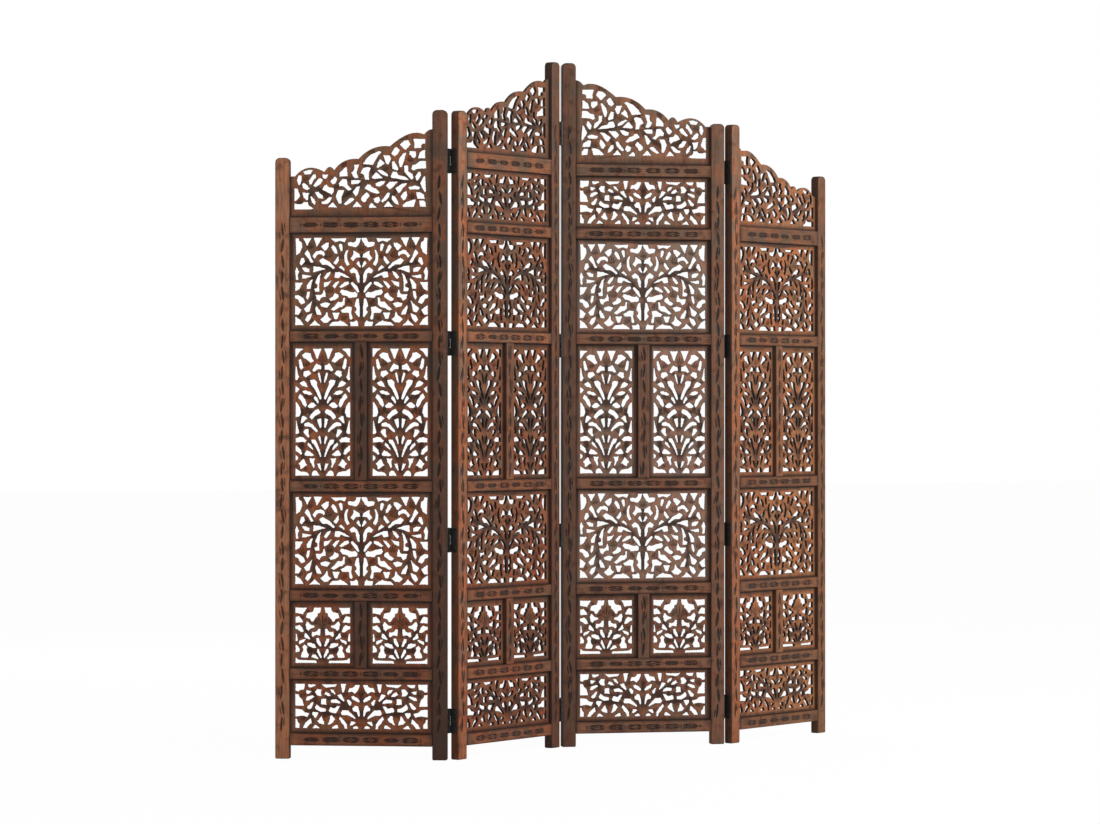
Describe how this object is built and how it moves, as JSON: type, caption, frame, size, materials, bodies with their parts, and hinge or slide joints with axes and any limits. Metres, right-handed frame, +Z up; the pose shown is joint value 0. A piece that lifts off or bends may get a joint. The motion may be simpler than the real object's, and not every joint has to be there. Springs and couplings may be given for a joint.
{
  "type": "folding screen",
  "caption": "Free-standing folding room divider: wooden leaves with pierced floral jali boards in grooved frames and an arched top, joined by butt hinges.",
  "frame": {"origin": "middle of the footprint on the floor, in the standing pose shown", "axes": "+Z up; +X along the row of leaves, left to right seen from the front; +Y towards the back, so the carved fronts face -Y"},
  "size_m": [1.6732, 0.2762, 1.829],
  "materials": {
    "stained_wood": "red-brown stained hardwood with darkened carving, satin",
    "black_metal": "blackened steel, satin"
  },
  "bodies": {
    "outer_left": {"outer_left_crest_jali": "stained_wood", "outer_left_left_column_jali": "stained_wood", "outer_left_left_square_jali": "stained_wood", "outer_left_left_stile": "stained_wood", "outer_left_lower_band_jali": "stained_wood", "outer_left_lower_tree_jali": "stained_wood", "outer_left_muntins": "stained_wood", "outer_left_rails": "stained_wood", "outer_left_right_column_jali": "stained_wood", "outer_left_right_square_jali": "stained_wood", "outer_left_right_stile": "stained_wood", "outer_left_upper_tree_jali": "stained_wood", "left_seam_left_hinge_plates": "black_metal"},
    "inner_left": {"inner_left_crest_jali": "stained_wood", "inner_left_left_column_jali": "stained_wood", "inner_left_left_square_jali": "stained_wood", "inner_left_left_stile": "stained_wood", "inner_left_lower_band_jali": "stained_wood", "inner_left_lower_tree_jali": "stained_wood", "inner_left_muntins": "stained_wood", "inner_left_rails": "stained_wood", "inner_left_right_column_jali": "stained_wood", "inner_left_right_square_jali": "stained_wood", "inner_left_right_stile": "stained_wood", "inner_left_upper_band_jali": "stained_wood", "inner_left_upper_tree_jali": "stained_wood", "left_seam_right_hinge_plates": "black_metal", "left_seam_hinge_pins": "black_metal", "middle_seam_left_hinge_plates": "black_metal"},
    "inner_right": {"inner_right_crest_jali": "stained_wood", "inner_right_left_column_jali": "stained_wood", "inner_right_left_square_jali": "stained_wood", "inner_right_left_stile": "stained_wood", "inner_right_lower_band_jali": "stained_wood", "inner_right_lower_tree_jali": "stained_wood", "inner_right_muntins": "stained_wood", "inner_right_rails": "stained_wood", "inner_right_right_column_jali": "stained_wood", "inner_right_right_square_jali": "stained_wood", "inner_right_right_stile": "stained_wood", "inner_right_upper_band_jali": "stained_wood", "inner_right_upper_tree_jali": "stained_wood", "middle_seam_right_hinge_plates": "black_metal", "middle_seam_hinge_pins": "black_metal", "right_seam_left_hinge_plates": "black_metal"},
    "outer_right": {"outer_right_crest_jali": "stained_wood", "outer_right_left_column_jali": "stained_wood", "outer_right_left_square_jali": "stained_wood", "outer_right_left_stile": "stained_wood", "outer_right_lower_band_jali": "stained_wood", "outer_right_lower_tree_jali": "stained_wood", "outer_right_muntins": "stained_wood", "outer_right_rails": "stained_wood", "outer_right_right_column_jali": "stained_wood", "outer_right_right_square_jali": "stained_wood", "outer_right_right_stile": "stained_wood", "outer_right_upper_tree_jali": "stained_wood", "right_seam_right_hinge_plates": "black_metal", "right_seam_hinge_pins": "black_metal"}
  },
  "joints": [
    {"name": "left_seam_fold", "type": "hinge", "parent": "inner_left", "child": "outer_left", "pos_m": [-0.45079, -0.11545, 0.9], "axis": [0, 0, 1], "range_deg": [-119.4, 60.6]},
    {"name": "middle_seam_fold", "type": "hinge", "parent": "inner_left", "child": "inner_right", "pos_m": [-0.03064, 0.05674, 0.9], "axis": [0, 0, 1], "range_deg": [-137.9, 42.1]},
    {"name": "right_seam_fold", "type": "hinge", "parent": "inner_right", "child": "outer_right", "pos_m": [0.41352, -0.03755, 0.9], "axis": [0, 0, 1], "range_deg": [-39.4, 140.6]}
  ]
}
